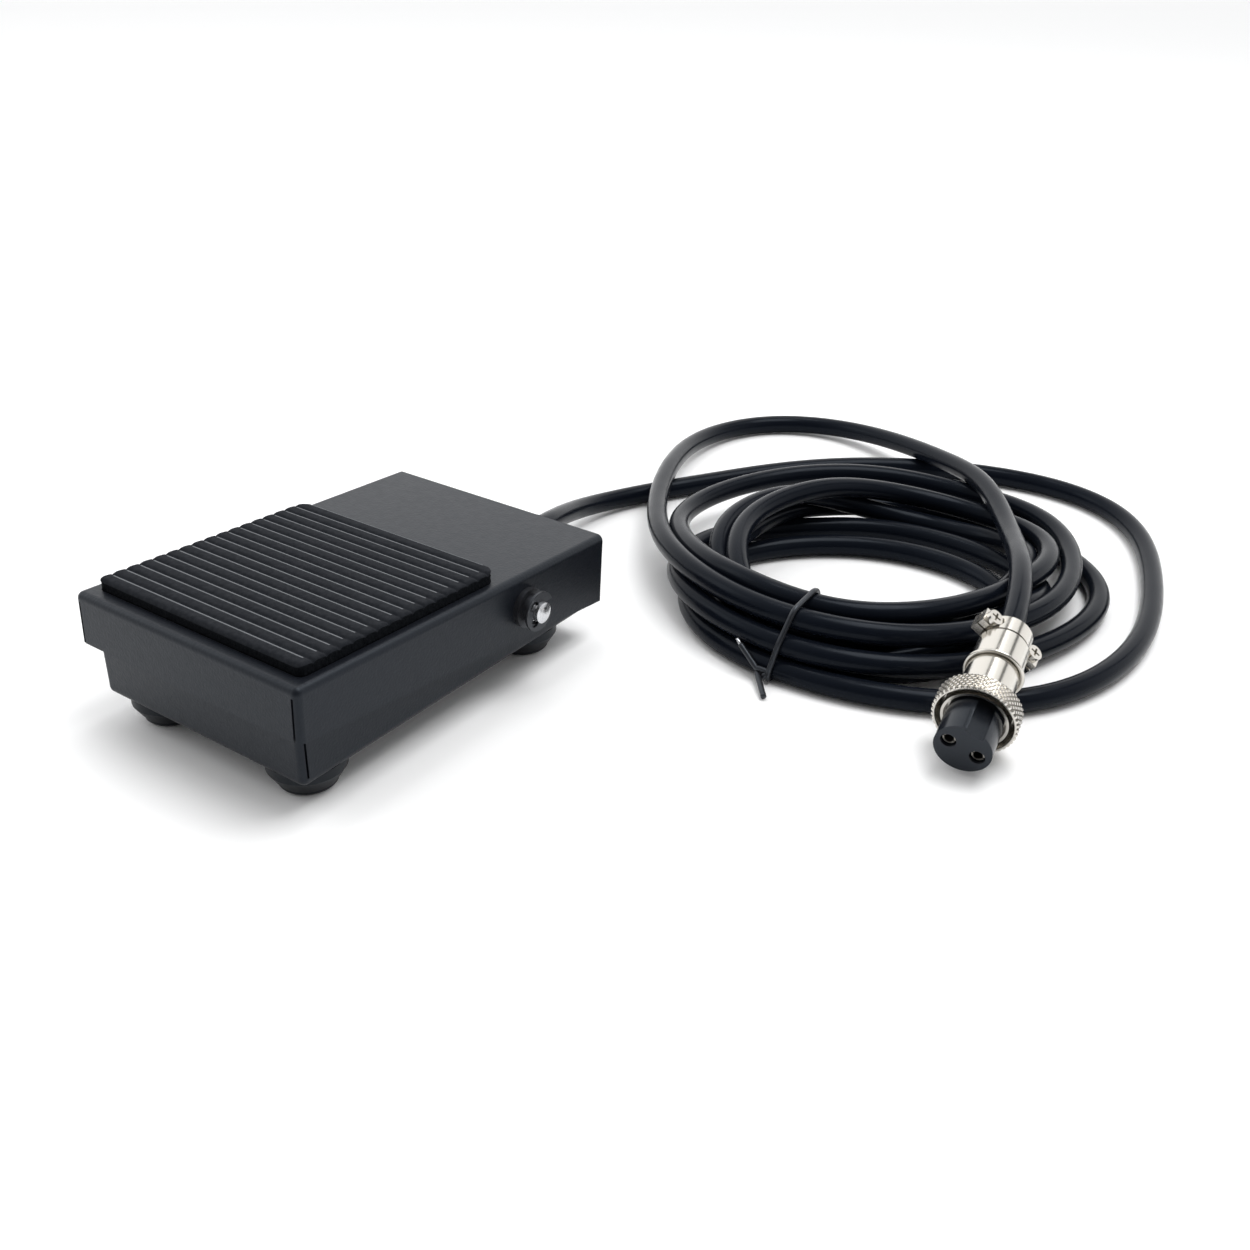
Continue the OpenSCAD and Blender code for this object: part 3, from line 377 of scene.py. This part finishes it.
def add_variation(material, scale, low, high, socket="Roughness", detail=3.0, spread=(0.4, 0.6)):
    """The socket's value wanders between low and high over the surface."""
    tree = material.node_tree
    surface = tree.nodes["Principled BSDF"]
    place = tree.nodes.new("ShaderNodeTexCoord")
    noise = tree.nodes.new("ShaderNodeTexNoise")
    noise.inputs["Scale"].default_value = scale
    noise.inputs["Detail"].default_value = detail
    tree.links.new(place.outputs["Object"], noise.inputs["Vector"])
    if socket == "Base Color":
        ramp = tree.nodes.new("ShaderNodeValToRGB")
        ramp.color_ramp.elements[0].position = spread[0]
        ramp.color_ramp.elements[0].color = (*low, 1)
        ramp.color_ramp.elements[1].position = spread[1]
        ramp.color_ramp.elements[1].color = (*high, 1)
        tree.links.new(noise.outputs["Fac"], ramp.inputs["Fac"])
        tree.links.new(ramp.outputs["Color"], surface.inputs[socket])
    else:
        span = tree.nodes.new("ShaderNodeMapRange")
        span.inputs["From Min"].default_value = spread[0]
        span.inputs["From Max"].default_value = spread[1]
        span.inputs["To Min"].default_value = low
        span.inputs["To Max"].default_value = high
        tree.links.new(noise.outputs["Fac"], span.inputs["Value"])
        tree.links.new(span.outputs["Result"], surface.inputs[socket])


def powder_coat():
    material = shader("powder_coat", (0.006, 0.0072, 0.0105), 0.38, Specular_IOR_Level=0.26)
    add_bump(material, 1700, 0.55, 0.00008, detail=1.5)
    add_variation(material, 500, 0.39, 0.42)
    return material


def pad_rubber():
    material = shader("pad_rubber", (0.012, 0.0125, 0.014), 0.8, Specular_IOR_Level=0.1)
    add_bump(material, 2600, 0.5, 0.00008, detail=3)
    add_variation(material, 900, (0.008, 0.009, 0.0115), (0.017, 0.018, 0.0215), "Base Color",
                  spread=(0.35, 0.75))
    return material


# Painted highlight: a lighter colour on the ribs' rear shoulders stands in for their grazing reflection
def painted_rib_highlight():
    return shader("pad_painted_highlight", (0.095, 0.1, 0.106), 0.6)


def pad_cut_edge():
    material = shader("pad_cut_edge", (0.003, 0.0035, 0.0045), 0.95, Specular_IOR_Level=0.1)
    add_bump(material, 1500, 0.9, 0.0003, detail=4)
    return material


def black_rubber():
    material = shader("black_rubber", (0.007, 0.0075, 0.009), 0.5, Specular_IOR_Level=0.3)
    add_bump(material, 1800, 0.3, 0.00006)
    return material


def cord_jacket():
    material = shader("cord_jacket", (0.0045, 0.006, 0.0098), 0.22, Specular_IOR_Level=0.09)
    add_variation(material, 260, 0.2, 0.26)
    add_bump(material, 700, 0.08, 0.00005)
    return material


def nickel(name="nickel", roughness=0.2):
    material = shader(name, (0.61, 0.585, 0.54), roughness, metallic=1.0)
    add_bump(material, 900, 0.05, 0.00003, stretch=(1, 0.2, 1))
    return material


def make_materials():
    zinc = shader("zinc", (0.6, 0.61, 0.63), 0.24, metallic=1.0)
    add_variation(zinc, 500, 0.18, 0.34)
    return {
        "black_paint": powder_coat(),
        "pad_rubber": pad_rubber(),
        "foot_rubber": black_rubber(),
        "zinc": zinc,
        "black_clip": shader("black_clip", (0.014, 0.014, 0.016), 0.38),
        "switch_plastic": shader("switch_plastic", (0.008, 0.0095, 0.013), 0.24, Specular_IOR_Level=0.32),
        "red_plastic": shader("red_plastic", (0.4, 0.02, 0.015), 0.4),
        "cord_jacket": cord_jacket(),
        "wire_jacket": shader("wire_jacket", (0.012, 0.012, 0.014), 0.36),
        "contact_metal": shader("contact_metal", (0.3, 0.285, 0.26), 0.3, metallic=1.0),
        "nickel": nickel(),
    }


materials = make_materials()
slot_of = {part["node"]: part["material_slot"] for part in frame["record"]["subparts"]}


def paint_cad_nodes():
    for node, piece in frame["nodes"].items():
        finish = "cord_jacket" if node == "strain_relief" else slot_of[node]
        for place in piece.material_slots:
            place.material = materials[finish]


# ---------- Pieces that replace plain CAD solids ----------

# Ribbed pad: the ribs run across with a narrow groove each, and each rib's rear shoulder gets a painted highlight, a
# lighter colour in place of its reflection
PAD_TILT = math.radians(-2.7)
PAD_W, PAD_L, PAD_T, PAD_R = 62 * MM, 59.5 * MM, 2.8 * MM, 4 * MM
PAD_FRONT_R = 1.5 * MM
RIB_PITCH = 3.5 * MM
RIB_PROFILE = [
    (0.0, -0.4), (0.06, -0.34), (0.12, -0.14), (0.2, -0.05), (0.3, 0.0), (0.42, 0.0), (0.56, -0.02),
    (0.7, -0.06), (0.78, -0.1), (0.84, -0.13), (0.9, -0.18), (0.95, -0.36),
]
# where along each rib the painted highlight colour lies
PAINTED_HIGHLIGHT_FROM, PAINTED_HIGHLIGHT_TO = 0.77, 0.86
PAD_EDGE = 0.7 * MM
PAD_COLUMNS = 72


def pad_half_width(y):
    """Half of the pad's width at a distance from its middle, less at its rounded corners."""
    half = PAD_W / 2
    for corner, edge in ((PAD_R, PAD_L / 2 - y), (PAD_FRONT_R, PAD_L / 2 + y)):
        if edge < corner:
            inside = corner - edge
            half = min(half, PAD_W / 2 - corner + math.sqrt(max(0.0, corner ** 2 - inside ** 2)))
    return half


def pad_top(x, y, half):
    share = (y + PAD_L / 2) / RIB_PITCH % 1.0
    shares = [p[0] for p in RIB_PROFILE] + [1.0]
    heights = [p[1] for p in RIB_PROFILE] + [RIB_PROFILE[0][1]]
    height = float(np.interp(share, shares, heights)) * MM
    edge = min(half - abs(x), PAD_L / 2 - abs(y))
    rounding = PAD_EDGE * 0.6 * (1 - min(1.0, edge / PAD_EDGE)) ** 2
    return PAD_T + height - rounding


def make_pad():
    ribs = int(PAD_L / RIB_PITCH)
    rows = [(k + p[0]) * RIB_PITCH - PAD_L / 2 for k in range(ribs) for p in RIB_PROFILE]
    rows.append(PAD_L / 2)
    ragged = np.random.default_rng(5)
    across = np.sin(np.linspace(-math.pi / 2, math.pi / 2, PAD_COLUMNS + 1))
    across = 0.4 * across + 0.6 * np.linspace(-1, 1, PAD_COLUMNS + 1)
    vertices, faces, finish = [], [], []
    for y in rows:
        half = pad_half_width(y)
        for u in across:
            vertices.append((u * half, y, pad_top(u * half, y, half)))
    wide = PAD_COLUMNS + 1
    for r in range(len(rows) - 1):
        share = (rows[r] + PAD_L / 2) / RIB_PITCH % 1.0
        for c in range(PAD_COLUMNS):
            faces.append((r * wide + c, r * wide + c + 1, (r + 1) * wide + c + 1, (r + 1) * wide + c))
            # faces on each rib's rear shoulder get the painted highlight colour
            finish.append(1 if PAINTED_HIGHLIGHT_FROM < share < PAINTED_HIGHLIGHT_TO and 2 < c < PAD_COLUMNS - 4 else 0)
    rim = [c for c in range(wide)]
    rim += [r * wide + wide - 1 for r in range(1, len(rows))]
    rim += [(len(rows) - 1) * wide + c for c in range(wide - 2, -1, -1)]
    rim += [r * wide for r in range(len(rows) - 2, 0, -1)]
    previous = rim
    levels = 5
    for level in range(1, levels + 1):
        ring = []
        for v in rim:
            x, y, z = vertices[v]
            rough = 0.0 if level == levels else float(ragged.uniform(-0.22, 0.0)) * MM
            shrink = 1 + rough / (0.5 * PAD_W)
            ring.append(len(vertices))
            vertices.append((x * shrink, y * shrink, z * (1 - level / levels)))
        for k in range(len(rim)):
            m = (k + 1) % len(rim)
            faces.append((previous[k], ring[k], ring[m], previous[m]))
            finish.append(2)
        previous = ring
    faces.append(tuple(reversed(previous)))
    finish.append(2)
    low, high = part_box("rubber_pad")
    turn = Matrix.Rotation(PAD_TILT, 4, "X")
    placed = [turn @ Vector(v) for v in vertices]
    flat = [turn @ Vector(v) for v in ((0, -PAD_L / 2, 0), (0, PAD_L / 2, PAD_T))]
    centre_y = (flat[0].y + flat[1].y) / 2
    shift = Vector((0, (low.y + high.y) / 2 - centre_y, low.z - flat[1].z + PAD_T * math.cos(PAD_TILT)))
    piece = mesh_piece("ribbed_pad", [v + shift for v in placed], faces, smooth=True)
    piece.data.materials.append(materials["pad_rubber"])
    piece.data.materials.append(painted_rib_highlight())
    piece.data.materials.append(pad_cut_edge())
    piece.data.polygons.foreach_set("material_index", finish)
    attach(piece, "treadle")
    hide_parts("rubber_pad")


# Knurled coupling nut, turned about the plug's axis
NUT_R, NUT_BORE_R, NUT_LIP_R = 9.6 * MM, 8.65 * MM, 6.05 * MM
NUT_FRONT, NUT_L, NUT_LIP = 9.2 * MM, 5 * MM, 1.1 * MM
NUT_BACK = NUT_FRONT + NUT_L
KNURL_DEPTH = 0.38 * MM
KNURL_AROUND = 44
KNURL_STEPS = 8
KNURL_WALL = 0.26


RING_R, RING_WIRE_R = 6.52 * MM, 0.5 * MM


def knurl(angle, along):
    """How far below the tips the surface is: pyramids between two sets of slanting grooves."""
    pitch = 2 * math.pi * NUT_R / KNURL_AROUND
    u = angle * NUT_R / pitch + along / pitch
    v = angle * NUT_R / pitch - along / pitch
    from_groove = min(abs(u - round(u)), abs(v - round(v)))
    return KNURL_DEPTH * (1 - min(1.0, from_groove / KNURL_WALL))


def make_nut():
    face, rear = plug_axis()
    side = rear.cross(Vector((0, 0, 1))).normalized()
    up = side.cross(rear).normalized()
    front = NUT_FRONT
    steps = KNURL_AROUND * KNURL_STEPS
    chamfer = 0.35 * MM
    profile = [(NUT_BACK - NUT_LIP, NUT_LIP_R, 0), (NUT_BACK - NUT_LIP, NUT_BORE_R - 0.3 * MM, 0)]
    for k in range(10):
        a = NUT_BACK - NUT_LIP - 0.2 * MM - k * 0.35 * MM
        profile.append((a, NUT_BORE_R - (0.25 * MM if k % 2 else 0.0), 0))
    profile += [(front + 0.12 * MM, NUT_BORE_R, 0), (front, NUT_BORE_R + 0.12 * MM, 0), (front, NUT_R - 0.55 * MM, 0)]
    row = 2 * math.pi * NUT_R / KNURL_AROUND / KNURL_STEPS
    rows = int((NUT_L - 0.5 * MM) / row)
    for k in range(rows + 1):
        profile.append((front + NUT_L / 2 + (k - rows / 2) * row, NUT_R, 1))
    profile += [(NUT_BACK, NUT_R - 0.6 * MM, 0), (NUT_BACK, NUT_LIP_R + 0.1 * MM, 0), (NUT_BACK - 0.1 * MM, NUT_LIP_R, 0)]
    vertices, faces, radii = [], [], []
    for a, r, cut in profile:
        for j in range(steps):
            angle = 2 * math.pi * j / steps
            from_end = min(a - front, NUT_BACK - a)
            radius = r
            if cut:
                radius -= max(knurl(angle, a - front - NUT_L / 2), chamfer - from_end)
            way = side * math.cos(angle) + up * math.sin(angle)
            vertices.append(face + rear * a + way * radius)
            radii.append(radius)
    for k in range(len(profile)):
        low, high = k * steps, (k + 1) % len(profile) * steps
        for j in range(steps):
            m = (j + 1) % steps
            corners = (low + j, low + m, high + m, high + j)
            rise = [radii[c] for c in corners]
            if abs(rise[0] - rise[2]) <= abs(rise[1] - rise[3]):
                faces += [(corners[0], corners[1], corners[2]), (corners[0], corners[2], corners[3])]
            else:
                faces += [(corners[0], corners[1], corners[3]), (corners[1], corners[2], corners[3])]
    piece = mesh_piece("knurled_nut", vertices, faces, smooth=False)
    piece.data.materials.append(materials["nickel"])
    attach(piece, "coupling_nut")
    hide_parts("plug_coupling_nut")
    return piece


def make_retaining_ring():
    """Round wire sprung onto the backshell."""
    face, rear = plug_axis()
    low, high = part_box("plug_ring")
    along = ((low + high) / 2 - face).dot(rear)
    side = rear.cross(Vector((0, 0, 1))).normalized()
    up = side.cross(rear).normalized()
    line = []
    for k in range(96):
        angle = 2 * math.pi * k / 96
        line.append(face + rear * along + (side * math.cos(angle) + up * math.sin(angle)) * RING_R)
    piece = tube("retaining_ring", np.array(line), RING_WIRE_R, sides=12, closed=True)
    piece.data.materials.append(materials["nickel"])
    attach(piece, "base")
    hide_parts("plug_ring")
    return piece


# Return spring, wound wire with closed ends
SPRING_TURNS = 6
SPRING_WIRE_R = 0.55 * MM


def make_return_spring():
    """A wound wire as tall and wide as the CAD spring, fixed to the base."""
    low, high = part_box("return_spring")
    middle = (low + high) / 2
    wound_r = (high.x - low.x) / 2 - SPRING_WIRE_R
    height = high.z - low.z
    closed = 1 / SPRING_TURNS
    closed_rise = 2 * SPRING_WIRE_R / (height - 2 * SPRING_WIRE_R)
    line = []
    for k in range(SPRING_TURNS * 32 + 1):
        u = k / (SPRING_TURNS * 32)
        angle = 2 * math.pi * SPRING_TURNS * u
        rise = float(np.interp(u, (0, closed, 1 - closed, 1), (0, closed_rise, 1 - closed_rise, 1)))
        z = low.z + SPRING_WIRE_R + rise * (height - 2 * SPRING_WIRE_R)
        line.append((middle.x + wound_r * math.cos(angle), middle.y + wound_r * math.sin(angle), z))
    piece = tube("wound_return_spring", np.array(line), SPRING_WIRE_R, sides=12)
    piece.data.materials.append(materials["zinc"])
    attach(piece, "base")
    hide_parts("return_spring")
    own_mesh(piece)


make_pad()
make_return_spring()
knurled_nut = make_nut()
retaining_ring = make_retaining_ring()


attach(cord, "base")
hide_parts("cord_lead", "cord_coil", "cord_loop")
cord.data.materials.append(materials["cord_jacket"])
for piece in tie_pieces:
    bare = piece.name == "tie_bare_tip"
    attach(piece, "base")
    piece.data.materials.append(materials["zinc" if bare else "wire_jacket"])
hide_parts("cord_tie")


def make_floor():
    data = bpy.data.meshes.new("floor")
    far = 20.0
    data.from_pydata([(-far, -far, 0), (far, -far, 0), (far, far, 0), (-far, far, 0)], [], [(0, 1, 2, 3)])
    floor = bpy.data.objects.new("floor", data)
    bpy.context.scene.collection.objects.link(floor)
    data.materials.append(shader("floor", (1.0, 1.0, 1.0), 0.8))
    floor.location.z = FLOOR_Z - 0.0002


# Grey cards seen from the plug: the way to each, and its width in metres
PLUG_MIDDLE = (0.13, 0.065, 0.013)
FLAGS = [((-0.22, 0.46, 0.8), 0.09), ((0.45, 0.5, 0.68), 0.08)]
# The room is dark behind the camera
ROOM_DARK_SIDE = (0.55, -0.8, 0.25)
# From the bright backdrop, over the room, to the dark side
ROOM_BRIGHTNESS = [(0.2, 1.42), (0.55, 1.05), (0.95, 0.15)]


def area_light(name, place, target, size, power):
    data = bpy.data.lights.new(name, "AREA")
    data.shape = "RECTANGLE"
    data.size, data.size_y = size
    data.energy = power
    light = bpy.data.objects.new(name, data)
    bpy.context.scene.collection.objects.link(light)
    light.location = place
    way = Vector(target) - Vector(place)
    light.rotation_euler = way.to_track_quat("-Z", "Y").to_euler()


def make_light():
    world = bpy.data.worlds.new("world")
    bpy.context.scene.world = world
    world.use_nodes = True
    tree = world.node_tree
    background = tree.nodes["Background"]
    place = tree.nodes.new("ShaderNodeTexCoord")
    toward = tree.nodes.new("ShaderNodeVectorMath")
    toward.operation = "DOT_PRODUCT"
    toward.inputs[1].default_value = ROOM_DARK_SIDE
    share = tree.nodes.new("ShaderNodeMapRange")
    share.inputs["From Min"].default_value = -1
    ramp = tree.nodes.new("ShaderNodeValToRGB")
    ramp.color_ramp.elements.new(0.5)
    for element, (position, grey) in zip(ramp.color_ramp.elements, ROOM_BRIGHTNESS):
        element.position = position
        element.color = (grey, grey, grey, 1)
    tree.links.new(place.outputs["Generated"], toward.inputs[0])
    tree.links.new(toward.outputs["Value"], share.inputs["Value"])
    tree.links.new(share.outputs["Result"], ramp.inputs["Fac"])
    tree.links.new(ramp.outputs["Color"], background.inputs["Color"])
    background.inputs["Strength"].default_value = 1.05
    area_light("over", (0.15, 0.3, 0.95), (0.05, 0.05, 0), (0.8, 0.6), 8)
    area_light("left", (-0.9, -0.3, 0.7), (0.05, 0.05, 0), (0.5, 0.6), 1)
    bpy.context.scene.view_settings.view_transform = "Standard"


def make_flags():
    """Grey cards out of view, which show as darker stripes in the plug's round nickel."""
    grey = shader("flag", (0.05, 0.048, 0.045), 0.9)
    for k, (way, width) in enumerate(FLAGS):
        direction = Vector(way).normalized()
        across = direction.cross(Vector((0, 1, 0))).normalized() * width / 2
        along = across.cross(direction).normalized() * 0.3
        centre = Vector(PLUG_MIDDLE) + direction * 0.55
        corners = [centre - across - along, centre + across - along, centre + across + along, centre - across + along]
        card = mesh_piece(f"flag_{k}", corners, [(0, 1, 2, 3)], smooth=False)
        card.data.materials.append(grey)


paint_cad_nodes()
make_flags()
make_floor()
make_light()
